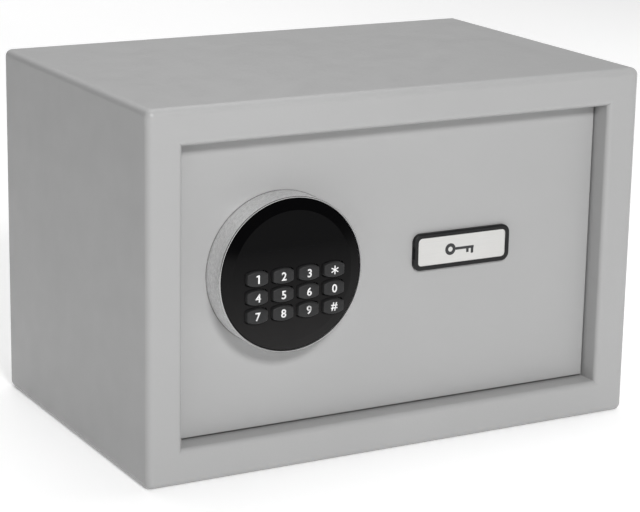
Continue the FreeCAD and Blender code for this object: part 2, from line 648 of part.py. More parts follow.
def lock_bolts():
    bolts = []
    for z in BOLT_ZS:
        bolt = rod_x(BOLT_Y, z, BOLT_RADIUS, TAB_X1, BOLT_TIP)
        tip = [edge for edge in bolt.Edges if edge.BoundBox.XMin > BOLT_TIP - 1e-4]
        bolt = bolt.makeChamfer(1.2, tip)
        bolts.append(bolt.cut(rod_x(BOLT_Y, z, 2.0, TAB_X1 - 1, TAB_X1 + 9)))
    return bolts


def bolt_screws():
    screws = []
    for z in BOLT_ZS:
        head = rod_x(BOLT_Y, z, 3.2, TAB_X0 - 2.6, TAB_X0)
        socket = rod_x(BOLT_Y, z, 1.5, TAB_X0 - 4, TAB_X0 - 1.2)
        shank = rod_x(BOLT_Y, z, 2.0, TAB_X0 - 0.5, TAB_X1 + 8)
        screws.append(fuse(head, shank).cut(socket))
    return screws


def gear_axle():
    shoulder = rod_y(GEAR_X, GEAR_Z, 4.0, CHASSIS_Y, PINION_Y0 - 0.2)
    shaft = rod_y(GEAR_X, GEAR_Z, AXLE_RADIUS, CHASSIS_Y, DRIVE_Y1 + 0.5)
    head = rod_y(GEAR_X, GEAR_Z, 2.8, DRIVE_Y1 + 0.3, DRIVE_Y1 + 1.3)
    return fuse(shoulder, shaft, head)


def drive_gear():
    """Rack pinion and large train wheel in one piece. A pinion tooth points up at the rack's gap."""
    upright = math.pi / 2
    pinion = prism_y(gear_outline(GEAR_X, GEAR_Z, RACK_MODULE, RACK_PINION_TEETH, upright),
                     PINION_Y0, CARRIAGE_Y1 + 1.2)
    hub = rod_y(GEAR_X, GEAR_Z, 5.6, CARRIAGE_Y1 + 1, DRIVE_Y0 + 0.5)
    wheel = prism_y(gear_outline(GEAR_X, GEAR_Z, TRAIN_MODULE, DRIVE_TEETH, -upright), DRIVE_Y0, DRIVE_Y1)
    pockets = []
    for step in range(5):
        angle = 2 * math.pi * (step + 0.5) / 5
        pockets.append(rod_y(GEAR_X + 9.8 * math.cos(angle), GEAR_Z + 9.8 * math.sin(angle), 2.9,
                             DRIVE_Y0 - 1, DRIVE_Y1 + 1))
    bore = rod_y(GEAR_X, GEAR_Z, AXLE_RADIUS + RUNNING_FIT, 0, DRIVE_Y1 + 5)
    return cut(fuse(pinion, hub, wheel), bore, *pockets)


def motor_pinion():
    """Its tooth gap faces the tooth of the large wheel that points down at it."""
    half_pitch = math.pi / MOTOR_TEETH
    outline = gear_outline(GEAR_X, MOTOR_Z, TRAIN_MODULE, MOTOR_TEETH, math.pi / 2 + half_pitch)
    pinion = prism_y(outline, DRIVE_Y0, DRIVE_Y1)
    hub = rod_y(GEAR_X, MOTOR_Z, 3.0, MOTOR_Y1 + 2.2, DRIVE_Y0 + 0.5)
    return fuse(pinion, hub).cut(rod_y(GEAR_X, MOTOR_Z, 1.0 + RUNNING_FIT, 0, DRIVE_Y1 + 5))


def lock_motor():
    can = rod_y(GEAR_X, MOTOR_Z, MOTOR_RADIUS, MOTOR_Y0, MOTOR_Y1)
    can = can.makeFillet(0.8, edges_at_y(can, MOTOR_Y1))
    nose = rod_y(GEAR_X, MOTOR_Z, 3.5, MOTOR_Y1 - 1, MOTOR_Y1 + 1.6)
    shaft = rod_y(GEAR_X, MOTOR_Z, 1.0, MOTOR_Y1, DRIVE_Y1 + 0.8)
    return fuse(can, nose, shaft)


# ---------------------------------------------------------------- inner cover, supply and electronics
STANDOFFS = ((38.0, 164.0), (36.6, 33.0), (258.0, 166.0), (258.0, 34.0))
HOLDER_X0, HOLDER_X1 = 40.0, 104.0
HOLDER_Z0, HOLDER_Z1 = 34.5, 96.0
HOLDER_Y0 = 26.0
CELL_RADIUS = 7.1
CELL_LENGTH = 50.5
LID_AXIS_Y = 43.6
LID_AXIS_Z = 38.0
LID_PIN_RADIUS = 1.0
MAIN_X0, MAIN_X1 = 60.0, 140.0
MAIN_Z0, MAIN_Z1 = 112.0, 164.0
MAIN_Y0, MAIN_Y1 = 28.0, 29.6
MAIN_POSTS = ((64.0, 116.0), (64.0, 160.0), (136.0, 116.0), (136.0, 160.0))
LEAD_Y = 32.0
LEAD_RADIUS = 1.2
PLUG_XS = (KEYPAD_X, 98.0, 128.0)
RESET_X = 118.0
RESET_Z = 140.0


def inner_cover():
    outer = box(INNER_X0, INNER_X1, DOOR_BACK + 0.2, INNER_BACK, INNER_Z0, INNER_Z1)
    outer = outer.makeFillet(2.4, [edge for edge in outer.Edges if edge.BoundBox.YMax > DOOR_BACK + 1])
    s = INNER_SHEET
    hollow = box(INNER_X0 + s, INNER_X1 - s, DOOR_BACK - 1, INNER_BACK - s, INNER_Z0 + s, INNER_Z1 - s)
    hollow = hollow.makeFillet(1.2, [edge for edge in hollow.Edges if edge.BoundBox.YMax > DOOR_BACK])
    battery_window = box(HOLDER_X0 + 1.8, HOLDER_X1 - 1.8, INNER_BACK - 3, INNER_BACK + 1, 35.0, 94.0)
    exits = [rod_x(BOLT_Y, z, BOLT_RADIUS + 0.5, INNER_X1 - 5, INNER_X1 + 1) for z in BOLT_ZS]
    screws = [rod_y(x, z, 1.7, INNER_BACK - 3, INNER_BACK + 1) for x, z in STANDOFFS]
    button = rod_y(RESET_X, RESET_Z, 4.4, INNER_BACK - 3, INNER_BACK + 1)
    return cut(outer, hollow, battery_window, button, *exits, *screws)


def cover_standoffs():
    posts = []
    for x, z in STANDOFFS:
        post = hexagon(x, z, 5.0, DOOR_BACK, INNER_BACK - INNER_SHEET)
        posts.append(post.cut(rod_y(x, z, 1.5, 36.0, INNER_BACK)))
    return posts


def cover_screws():
    return [pan_screw_y(x, z, 3.0, INNER_BACK, INNER_BACK + 1.9, 1.5, 37.0, INNER_BACK) for x, z in STANDOFFS]


def cell_places():
    pitch = 2 * CELL_RADIUS + 0.6
    middle = (HOLDER_X0 + HOLDER_X1) / 2
    return [middle + (index - 1.5) * pitch for index in range(4)]


def battery_holder():
    wall = 1.6
    tray = box(HOLDER_X0, HOLDER_X1, HOLDER_Y0, INNER_BACK - INNER_SHEET - 0.2, HOLDER_Z0, HOLDER_Z1)
    inside = box(HOLDER_X0 + wall, HOLDER_X1 - wall, HOLDER_Y0 + wall, INNER_BACK, HOLDER_Z0 + wall,
                 HOLDER_Z1 - wall)
    ribs = []
    for left, right in zip(cell_places(), cell_places()[1:]):
        middle = (left + right) / 2
        ribs.append(box(middle - 0.2, middle + 0.2, HOLDER_Y0 + 1, HOLDER_Y0 + 7, HOLDER_Z0 + 1, HOLDER_Z1 - 1))
    feet = [box(x, x + 5, DOOR_BACK, HOLDER_Y0 + 1, z, z + 5)
            for x in (HOLDER_X0 + 2, HOLDER_X1 - 7) for z in (HOLDER_Z0 + 2, HOLDER_Z1 - 7)]
    pivot = rod_x(LID_AXIS_Y, LID_AXIS_Z, LID_PIN_RADIUS + RUNNING_FIT, HOLDER_X0 - 1, HOLDER_X1 + 1)
    lid_swing = box(HOLDER_X0 + wall, HOLDER_X1 - wall, LID_AXIS_Y - 2.5, INNER_BACK,
                    HOLDER_Z0 - 1, HOLDER_Z0 + wall + 1)
    return cut(fuse(tray.cut(inside), *ribs, *feet), pivot, lid_swing)


def battery_cells():
    cells = []
    z0 = HOLDER_Z0 + 1.6 + 3.4
    for index, x in enumerate(cell_places()):
        body = rod_z(x, HOLDER_Y0 + 1.8 + CELL_RADIUS, CELL_RADIUS, z0 + 1, z0 + CELL_LENGTH - 1)
        body = body.makeFillet(0.6, [edge for edge in body.Edges if edge.BoundBox.ZLength < 1e-4])
        nub_z = z0 + CELL_LENGTH - 1.5 if index % 2 else z0
        nub = rod_z(x, HOLDER_Y0 + 1.8 + CELL_RADIUS, 2.7, nub_z, nub_z + 1.5)
        cells.append(fuse(body, nub))
    return cells


def battery_contacts():
    """Two plates to a cell, and a hollow spring cone at its flat end."""
    contacts = []
    y = HOLDER_Y0 + 1.8 + CELL_RADIUS
    top, bottom = HOLDER_Z1 - 1.6, HOLDER_Z0 + 1.6
    for index, x in enumerate(cell_places()):
        for z0, z1 in ((bottom, bottom + 0.5), (top - 0.5, top)):
            contacts.append(box(x - 5, x + 5, y - 5, y + 5, z0, z1))
        cell_low = HOLDER_Z0 + 5.0
        cell_high = cell_low + CELL_LENGTH
        spring = (bottom + 0.5, cell_low + 1) if index % 2 else (cell_high - 1, top - 0.5)
        cone = Part.makeCone(3.4, 2.4, spring[1] - spring[0], Vector(x, y, spring[0]))
        contacts.append(cone.cut(rod_z(x, y, 1.6, spring[0] - 1, spring[1] + 1)))
    return contacts


def battery_lid():
    x0, x1 = HOLDER_X0 + 2.3, HOLDER_X1 - 2.3
    plate = box(x0, x1, INNER_BACK - INNER_SHEET, INNER_BACK, LID_AXIS_Z + 0.5, 93.5)
    notch = rod_y((x0 + x1) / 2, 93.5 + 3, 6.0, 40, 50)
    barrel = rod_x(LID_AXIS_Y, LID_AXIS_Z, 1.8, x0, x1)
    pin = rod_x(LID_AXIS_Y, LID_AXIS_Z, LID_PIN_RADIUS, HOLDER_X0 + 0.2, HOLDER_X1 - 0.2)
    ribs = [box(x0, x1, INNER_BACK - 0.2, INNER_BACK + 0.4, z, z + 0.8) for z in (84.0, 86.4, 88.8)]
    return fuse(plate.cut(notch), barrel, pin, *[rib.cut(notch) for rib in ribs])


def main_board():
    board = box(MAIN_X0, MAIN_X1, MAIN_Y0, MAIN_Y1, MAIN_Z0, MAIN_Z1)
    return cut(board, *[rod_y(x, z, 1.6, 20, 40) for x, z in MAIN_POSTS])


def board_parts():
    """Plug sockets along the lower edge, the processor, a buzzer, a relay and the reset switch."""
    parts = [box(x - 4, x + 4, MAIN_Y1, MAIN_Y1 + 5, MAIN_Z0 + 2, MAIN_Z0 + 7) for x in PLUG_XS]
    parts.append(box(82, 94, MAIN_Y1, MAIN_Y1 + 2, 132, 144))
    buzzer = rod_y(72.0, 150.0, 6.0, MAIN_Y1, MAIN_Y1 + 7)
    parts.append(buzzer.cut(rod_y(72.0, 150.0, 1.0, MAIN_Y1 + 4, MAIN_Y1 + 8)))
    parts.append(box(98, 110, MAIN_Y1, MAIN_Y1 + 8, 150, 160))
    parts.append(box(RESET_X - 3, RESET_X + 3, MAIN_Y1, MAIN_Y1 + 6.2, RESET_Z - 3, RESET_Z + 3))
    parts.append(rod_y(126.0, 152.0, 3.2, MAIN_Y1, MAIN_Y1 + 9))
    return parts


def board_posts():
    posts = []
    for x, z in MAIN_POSTS:
        shank = rod_y(x, z, 1.6, MAIN_Y0 - 2, MAIN_Y1)
        head = rod_y(x, z, 2.8, MAIN_Y1, MAIN_Y1 + 1.2)
        posts.append(fuse(rod_y(x, z, 3.0, DOOR_BACK, MAIN_Y0), shank, head))
    return posts


def reset_button():
    cap = rod_y(RESET_X, RESET_Z, 4.0, 43.0, INNER_BACK + 1.3)
    cap = cap.makeFillet(0.6, edges_at_y(cap, INNER_BACK + 1.3))
    return fuse(cap, rod_y(RESET_X, RESET_Z, 5.2, 43.0, 44.4), rod_y(RESET_X, RESET_Z, 2.0, 37.6, 43.5))


def keypad_cable():
    plug_z = MAIN_Z0 + 2
    return cable(((KEYPAD_X, BOARD_Y1, CABLE_HOLE_Z), (KEYPAD_X, LEAD_Y, CABLE_HOLE_Z),
                  (KEYPAD_X, LEAD_Y, plug_z)), LEAD_RADIUS)


def battery_lead():
    plug_z = MAIN_Z0 + 2
    return cable(((91.0, LEAD_Y, HOLDER_Z1), (91.0, LEAD_Y, HOLDER_Z1 + 6), (98.0, LEAD_Y, plug_z - 6),
                  (98.0, LEAD_Y, plug_z)), LEAD_RADIUS)


def motor_lead():
    plug_z = MAIN_Z0 + 2
    start_x = GEAR_X - math.sqrt(MOTOR_RADIUS ** 2 - LEAD_RADIUS ** 2) - 0.1
    return cable(((start_x, LEAD_Y, MOTOR_Z), (148.0, LEAD_Y, MOTOR_Z), (128.0, LEAD_Y, 74.0),
                  (128.0, LEAD_Y, plug_z)), LEAD_RADIUS)


# ---------------------------------------------------------------- export
export("body_shell", body_skin().cut(frame_zone()))
export("front_frame", body_skin().common(frame_zone()))
export("back_panel", back_panel())
export("interior_mat", interior_mat())
export_group("hinge_bushes", [hinge_bush(-1), hinge_bush(1)])
export_group("door_stops", door_stops())
export_group("door_bumpers", door_bumpers())

export("door_panel", door_panel())
export_group("hinge_pins", hinge_pins())
export("bezel_gasket", ring_y(KEYPAD_X, KEYPAD_Z, BEZEL_RADIUS + 0.3, 36.0, BEZEL_BACK, DOOR_RECESS))
export("bezel_ring", bezel_ring())
export("keypad_housing", keypad_housing())
export("keypad_face", keypad_face())
export("keypad_web", keypad_web())
export("keypad_board", keypad_board())
export("display_module", display_module())
export_group("keypad_screws", keypad_screws())
export("keypad_cable", keypad_cable())
for key_name, key_x, key_z in key_places():
    export("key_" + key_name, keypad_key(key_x, key_z))

export("override_cover", override_cover())
export("cover_plate", cover_plate())
export("lock_housing", lock_housing())
export("lock_nut", lock_nut())
export("lock_plug", lock_plug())
export("lock_cam", lock_cam())
export("cam_screw", cam_screw())

export("lock_chassis", lock_chassis())
export_group("chassis_nuts", chassis_nuts())
export_group("guide_studs", guide_studs())
export("bolt_carriage", bolt_carriage())
export_group("lock_bolts", lock_bolts())
export_group("bolt_screws", bolt_screws())
export("gear_axle", gear_axle())
export("drive_gear", drive_gear())
export("motor_pinion", motor_pinion())
export("lock_motor", lock_motor())

export("inner_cover", inner_cover())
export_group("cover_standoffs", cover_standoffs())
export_group("cover_screws", cover_screws())
export("battery_holder", battery_holder())
export_group("battery_cells", battery_cells())
export_group("battery_contacts", battery_contacts())
export("battery_lid", battery_lid())
export("main_board", main_board())
export_group("board_parts", board_parts())
export_group("board_posts", board_posts())
export("reset_button", reset_button())
export("battery_lead", battery_lead())
export("motor_lead", motor_lead())
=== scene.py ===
import json
import math
import bmesh
import bpy
from mathutils import Matrix, Vector, noise

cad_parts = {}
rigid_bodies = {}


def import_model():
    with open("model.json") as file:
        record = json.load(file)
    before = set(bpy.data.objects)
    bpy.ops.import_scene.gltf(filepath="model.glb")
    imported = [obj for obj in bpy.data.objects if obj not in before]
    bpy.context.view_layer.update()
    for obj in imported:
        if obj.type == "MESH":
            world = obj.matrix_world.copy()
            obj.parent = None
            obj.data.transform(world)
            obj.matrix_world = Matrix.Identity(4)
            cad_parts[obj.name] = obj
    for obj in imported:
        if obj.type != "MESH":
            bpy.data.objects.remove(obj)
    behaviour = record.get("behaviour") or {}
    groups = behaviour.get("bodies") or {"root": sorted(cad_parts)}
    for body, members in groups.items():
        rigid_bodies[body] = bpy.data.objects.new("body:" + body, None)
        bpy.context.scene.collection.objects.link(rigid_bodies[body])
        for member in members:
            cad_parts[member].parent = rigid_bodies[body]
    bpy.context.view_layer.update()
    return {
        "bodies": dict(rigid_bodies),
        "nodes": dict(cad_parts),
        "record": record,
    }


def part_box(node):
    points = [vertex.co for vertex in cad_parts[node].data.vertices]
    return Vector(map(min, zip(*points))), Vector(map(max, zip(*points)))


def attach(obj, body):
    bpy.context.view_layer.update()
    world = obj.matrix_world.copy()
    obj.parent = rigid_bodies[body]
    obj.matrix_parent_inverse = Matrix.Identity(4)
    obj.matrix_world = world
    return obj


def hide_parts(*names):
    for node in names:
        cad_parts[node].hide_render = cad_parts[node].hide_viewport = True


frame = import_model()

MM = 0.001
NOISE_RANGE = (0.3, 0.7)                    # most of a noise texture's values lie between these
MIX_FACTOR, MIX_FIRST, MIX_SECOND = 0, 6, 7  # inputs of a Mix node that mixes colours
MIX_RESULT = 2                              # and its output


# ---------------------------------------------------------------- node building
class Shader:
    """A material with a Principled shader and short ways to add and join nodes."""

    def __init__(self, name, colour, roughness, metallic=0.0, **inputs):
        self.material = bpy.data.materials.new(name)
        self.material.use_nodes = True
        self.nodes = self.material.node_tree.nodes
        self.links = self.material.node_tree.links
        self.surface = self.nodes["Principled BSDF"]
        self.material.diffuse_color = (*colour, 1.0)
        self.set("Base Color", (*colour, 1.0))
        self.set("Roughness", roughness)
        self.set("Metallic", metallic)
        for key, value in inputs.items():
            self.set(key.replace("_", " "), value)
        self.place = self.add("ShaderNodeTexCoord").outputs["Object"]

    def set(self, socket, value):
        self.surface.inputs[socket].default_value = value

    def add(self, kind, **values):
        """A new node. Each value goes to the node's own setting, or else its input, of that name."""
        node = self.nodes.new(kind)
        for key, value in values.items():
            if hasattr(node, key):
                setattr(node, key, value)
            else:
                node.inputs[key.replace("_", " ")].default_value = value
        return node

    def join(self, source, node, socket):
        self.links.new(source, node.inputs[socket])

    def stretched(self, scale):
        """The place scaled by its own number along each axis, for lines and grain."""
        mapping = self.add("ShaderNodeMapping")
        mapping.inputs["Scale"].default_value = scale
        self.join(self.place, mapping, "Vector")
        return mapping.outputs["Vector"]

    def noise(self, scale, detail=2.0, place=None, roughness=0.5):
        """Noise with scale cells to the metre."""
        node = self.add("ShaderNodeTexNoise", Scale=scale, Detail=detail, Roughness=roughness)
        self.join(place or self.place, node, "Vector")
        return node.outputs["Fac"]

    def lines(self, scale, detail, roughness=0.5):
        """Noise with its own number of cells to the metre along each axis."""
        return self.noise(1.0, detail, self.stretched(scale), roughness)

    def spread(self, value, low, high, at=NOISE_RANGE):
        """Maps the range "at" onto low to high."""
        node = self.add("ShaderNodeMapRange", From_Min=at[0], From_Max=at[1], To_Min=low,
                        To_Max=high)
        self.join(value, node, "Value")
        return node.outputs["Result"]

    def mix(self, factor, first, second):
        """A colour between two others, each a tuple or a node's output."""
        node = self.add("ShaderNodeMix", data_type="RGBA")
        for index, colour in ((MIX_FIRST, first), (MIX_SECOND, second)):
            if isinstance(colour, tuple):
                node.inputs[index].default_value = (*colour, 1.0)
            else:
                self.links.new(colour, node.inputs[index])
        if isinstance(factor, float):
            node.inputs[MIX_FACTOR].default_value = factor
        else:
            self.links.new(factor, node.inputs[MIX_FACTOR])
        return node.outputs[MIX_RESULT]

    def height(self):
        """The z of a point on the piece, in metres."""
        return self.split().outputs["Z"]

    def split(self):
        """The place's x, y and z, each on its own output."""
        node = self.add("ShaderNodeSeparateXYZ")
        self.join(self.place, node, "Vector")
        return node

    def math(self, operation, first, second):
        """Arithmetic on two values, each a number or a node's output."""
        node = self.add("ShaderNodeMath", operation=operation)
        for index, value in enumerate((first, second)):
            if isinstance(value, (int, float)):
                node.inputs[index].default_value = value
            else:
                self.links.new(value, node.inputs[index])
        return node.outputs[0]

    def colour(self, source):
        self.join(source, self.surface, "Base Color")

    def roughness(self, source):
        self.join(source, self.surface, "Roughness")

    def bump(self, height, distance, strength, under=None):
        """Surface relief, distance metres deep; "under" is a coarser bump below it."""
        node = self.add("ShaderNodeBump", Distance=distance, Strength=strength)
        self.join(height, node, "Height")
        if under is not None:
            self.join(under, node, "Normal")
        self.join(node.outputs["Normal"], self.surface, "Normal")
        return node.outputs["Normal"]


def shade(colour, factor):
    return tuple(channel * factor for channel in colour)


# ---------------------------------------------------------------- materials
# A finish's colour and roughness each drift between two values, and a bump gives its grain.
# shade() multiplies a colour, so 0.9 is a tenth darker.
def powder_coat(name, colour):
    """Satin powder coat: fine orange peel over a very slow drift in tone."""
    coat = Shader(name, colour, 0.42, Specular_IOR_Level=0.5)
    drift = coat.spread(coat.noise(scale=9.0, detail=3.0), 0.0, 1.0)
    grain = coat.spread(coat.noise(scale=2600.0, detail=1.0), 0.0, 1.0)
    toned = coat.mix(drift, shade(colour, 0.975), shade(colour, 1.02))
    coat.colour(coat.mix(coat.spread(grain, 0.0, 0.10), toned, shade(colour, 0.90)))
    coat.roughness(coat.spread(coat.noise(scale=60.0, detail=3.0), 0.38, 0.47))
    peel = coat.bump(coat.noise(scale=520.0, detail=2.0), distance=0.00010, strength=0.35)
    coat.bump(coat.noise(scale=2100.0, detail=1.0), distance=0.00003, strength=0.35, under=peel)
    return coat.material


def brushed_metal(name, colour, scale, roughness):
    """Metal with fine grain lines, long along the axis whose scale is small."""
    metal = Shader(name, colour, roughness[0], 1.0)
    lines = metal.lines(scale, detail=3.0, roughness=0.6)
    cloud = metal.noise(scale=45.0, detail=2.0)
    tone = metal.mix(metal.spread(lines, 0.0, 1.0), shade(colour, 0.94), shade(colour, 1.06))
    metal.colour(metal.mix(metal.spread(cloud, 0.0, 0.35), tone, shade(colour, 0.93)))
    metal.roughness(metal.spread(lines, *roughness))
    metal.bump(lines, distance=0.00002, strength=0.6)
    return metal.material


def bezel_aluminium(name, colour):
    """Side brushed round the ring; the front edge, cut afterwards, is polished, and its colour
    darkened as a painted dark reflection.
    """
    metal = Shader(name, colour, 0.34, 1.0)
    strokes = metal.lines((520.0, 1150.0, 520.0), detail=4.0, roughness=0.75)
    fine = metal.lines((900.0, 6400.0, 900.0), detail=2.0, roughness=0.6)
    worked = metal.mix(0.45, strokes, fine)
    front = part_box("bezel_ring")[0].y
    side = metal.spread(metal.split().outputs["Y"], 0.0, 1.0, (front + 0.3 * MM, front + 0.6 * MM))
    contrast = metal.spread(worked, 0.0, 1.0, (0.38, 0.62))
    tone = metal.mix(contrast, shade(colour, 0.76), shade(colour, 1.10))
    # The front edge's colour is darkened to under half: painted dark reflection in place of the pale
    # floor it would mirror.
    metal.colour(metal.mix(side, shade(colour, 0.45), tone))
    brushed = metal.spread(worked, 0.42, 0.62)
    polished = metal.math("MULTIPLY", metal.math("SUBTRACT", 1.0, side), 0.20)
    metal.roughness(metal.math("ADD", metal.math("MULTIPLY", brushed, side), polished))
    metal.bump(metal.math("MULTIPLY", worked, side), distance=0.00006, strength=0.6)
    return metal.material


def turned_metal(name, colour):
    """Metal from a lathe: fine lines round the piece and a soft cloudiness."""
    metal = Shader(name, colour, 0.25, 1.0)
    lines = metal.lines((9000.0, 160.0, 160.0), detail=2.0)
    metal.roughness(metal.spread(lines, 0.25, 0.39))
    cloud = metal.spread(metal.noise(scale=90.0), 0.0, 0.5)
    metal.colour(metal.mix(cloud, colour, shade(colour, 0.86)))
    metal.bump(lines, distance=0.00001, strength=0.5)
    return metal.material


def zinc_plate(name, colour):
    """Bright zinc: faint spangle and a soft cloudiness."""
    metal = Shader(name, colour, 0.34, 1.0)
    cells = metal.add("ShaderNodeTexVoronoi", Scale=260.0)
    metal.join(metal.place, cells, "Vector")
    spangle = metal.spread(cells.outputs["Distance"], 0.0, 1.0, (0.0, 0.8))
    metal.colour(metal.mix(spangle, shade(colour, 0.9), shade(colour, 1.06)))
    metal.roughness(metal.spread(metal.noise(scale=70.0, detail=3.0), 0.28, 0.44))
    metal.bump(metal.noise(scale=900.0, detail=2.0), distance=0.00002, strength=0.4)
    return metal.material


def moulded(name, colour, rough=(0.36, 0.5), coat=0.0, specular=0.5):
    """Injection-moulded plastic with a fine spark-eroded texture."""
    plastic = Shader(name, colour, rough[0], Coat_Weight=coat, Coat_Roughness=0.12,
                     Specular_IOR_Level=specular)
    plastic.colour(plastic.mix(plastic.spread(plastic.noise(scale=30.0, detail=3.0), 0.0, 1.0),
                               shade(colour, 0.9), shade(colour, 1.12)))
    plastic.roughness(plastic.spread(plastic.noise(scale=110.0, detail=3.0), *rough))
    plastic.bump(plastic.noise(scale=1500.0, detail=1.0), distance=0.00003, strength=0.5)
    return plastic.material


def soft_rubber(name, colour, specular=0.5):
    rubber = Shader(name, colour, 0.55, Sheen_Weight=0.1, Sheen_Roughness=0.4,
                    Specular_IOR_Level=specular)
    rubber.colour(rubber.mix(rubber.spread(rubber.noise(scale=140.0, detail=3.0), 0.0, 1.0),
                             shade(colour, 0.88), shade(colour, 1.15)))
    rubber.roughness(rubber.spread(rubber.noise(scale=260.0, detail=2.0), 0.48, 0.62))
    rubber.bump(rubber.noise(scale=2400.0, detail=1.0), distance=0.00003, strength=0.5)
    return rubber.material


def gloss_face(name, deep, painted_reflection_grey):
    """Black moulding, polished over the display: deep black above, greyer towards the bottom round
    the keys, a painted reflection of the pale floor.
    """
    face = Shader(name, deep, 0.14, Specular_IOR_Level=0.06)
    low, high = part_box("keypad_face")
    middle = (low.z + high.z) / 2
    # From grey at the bottom to deep black higher up: painted reflection of the floor in the colour.
    rise = face.spread(face.height(), 0.0, 1.0, (low.z, middle + 0.4 * (high.z - middle)))
    haze = face.spread(face.noise(scale=40.0, detail=4.0), 0.85, 1.15)
    painted_reflection_tone = face.mix(rise, painted_reflection_grey, deep)
    face.colour(face.mix(face.math("MULTIPLY", haze, 0.3), painted_reflection_tone, shade(deep, 0.8)))
    face.roughness(face.spread(face.noise(scale=40.0, detail=4.0), 0.12, 0.18))
    face.bump(face.noise(scale=300.0, detail=2.0), distance=0.00002, strength=0.15)
    return face.material


def carpet(name, colour):
    """Needled felt: short fibres over broader tufts."""
    felt = Shader(name, colour, 0.95, Sheen_Weight=0.4, Sheen_Roughness=0.6, Specular_IOR_Level=0.2)
    flattened = felt.stretched((1.0, 1.0, 0.4))
    fibres = felt.noise(scale=1400.0, detail=4.0, place=flattened, roughness=0.7)
    tufts = felt.noise(scale=300.0, detail=3.0)
    felt.colour(felt.mix(felt.spread(fibres, 0.0, 1.0), shade(colour, 0.55),
                         felt.mix(felt.spread(tufts, 0.0, 1.0), colour, shade(colour, 1.7))))
    felt.bump(fibres, distance=0.0004, strength=0.8)
    return felt.material


def solder_mask(name, colour):
    """Circuit board: copper tracks show as slightly raised, lighter lanes under the mask."""
    board = Shader(name, colour, 0.3, Coat_Weight=0.4, Coat_Roughness=0.15)
    lanes = board.add("ShaderNodeTexBrick", Scale=210.0, Mortar_Size=0.06, Brick_Width=1.4,
                      Row_Height=0.35)
    turn = board.add("ShaderNodeMapping")
    turn.inputs["Rotation"].default_value = (math.pi / 2, 0.0, 0.0)
    board.join(board.place, turn, "Vector")
    board.join(turn.outputs["Vector"], lanes, "Vector")
    tracks = lanes.outputs["Fac"]
    patchy = board.spread(board.noise(scale=60.0, detail=1.0), 0.0, 1.0, (0.45, 0.5))
    copper = board.math("MULTIPLY", tracks, patchy)
    board.colour(board.mix(copper, colour, shade(colour, 2.2)))
    board.roughness(board.spread(board.noise(scale=80.0), 0.22, 0.36))
    board.bump(copper, distance=0.00004, strength=0.5)
    return board.material


BAND_COPPER = (0.55, 0.36, 0.16)


def cell_sleeve(name, colour):
    """Battery sleeve: dark body with a pale band round one end. The cells stand along z."""
    sleeve = Shader(name, colour, 0.25, Coat_Weight=0.5, Coat_Roughness=0.1)
    low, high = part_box("battery_cells")
    start = low.z + 0.7 * (high.z - low.z)
    band = sleeve.spread(sleeve.height(), 0.0, 1.0, (start - 0.2 * MM, start + 0.2 * MM))
    banded = sleeve.mix(band, colour, BAND_COPPER)
    scuff = sleeve.spread(sleeve.noise(scale=240.0, detail=3.0), 0.0, 0.3)
    sleeve.colour(sleeve.mix(scuff, banded, shade(colour, 1.6)))
    sleeve.roughness(sleeve.spread(sleeve.noise(scale=150.0), 0.2, 0.36))
    return sleeve.material


def display_lens(name, colour):
    lens = Shader(name, colour, 0.08, Coat_Weight=1.0, Coat_Roughness=0.04)
    lens.colour(lens.mix(lens.spread(lens.noise(scale=60.0, detail=2.0), 0.0, 1.0),
                         shade(colour, 0.7), shade(colour, 1.2)))
    lens.roughness(lens.spread(lens.noise(scale=200.0), 0.06, 0.12))
    return lens.material


WHITE = (1.0, 1.0, 1.0, 1.0)


def studio_floor(name):
    """Pale floor with a faint glow, so that it reaches the backdrop's white."""
    floor = Shader(name, (0.93, 0.93, 0.93), 0.7, Emission_Strength=0.20, Emission_Color=WHITE)
    floor.colour(floor.mix(floor.spread(floor.noise(scale=3.0, detail=2.0), 0.0, 1.0),
                           (0.92, 0.92, 0.92), (0.94, 0.94, 0.94)))
    return floor.material


def legend_ink():
    ink = Shader("legend_ink", (0.78, 0.78, 0.78), 0.5)
    ink.colour(ink.mix(ink.spread(ink.noise(scale=900.0, detail=2.0), 0.0, 1.0),
                       (0.74, 0.74, 0.74), (0.82, 0.82, 0.82)))
    ink.bump(ink.noise(scale=3000.0), distance=0.00001, strength=0.4)
    return ink.material


BODY_GREY = (0.365, 0.365, 0.365)
PLATE_SILVER = (0.72, 0.715, 0.70)

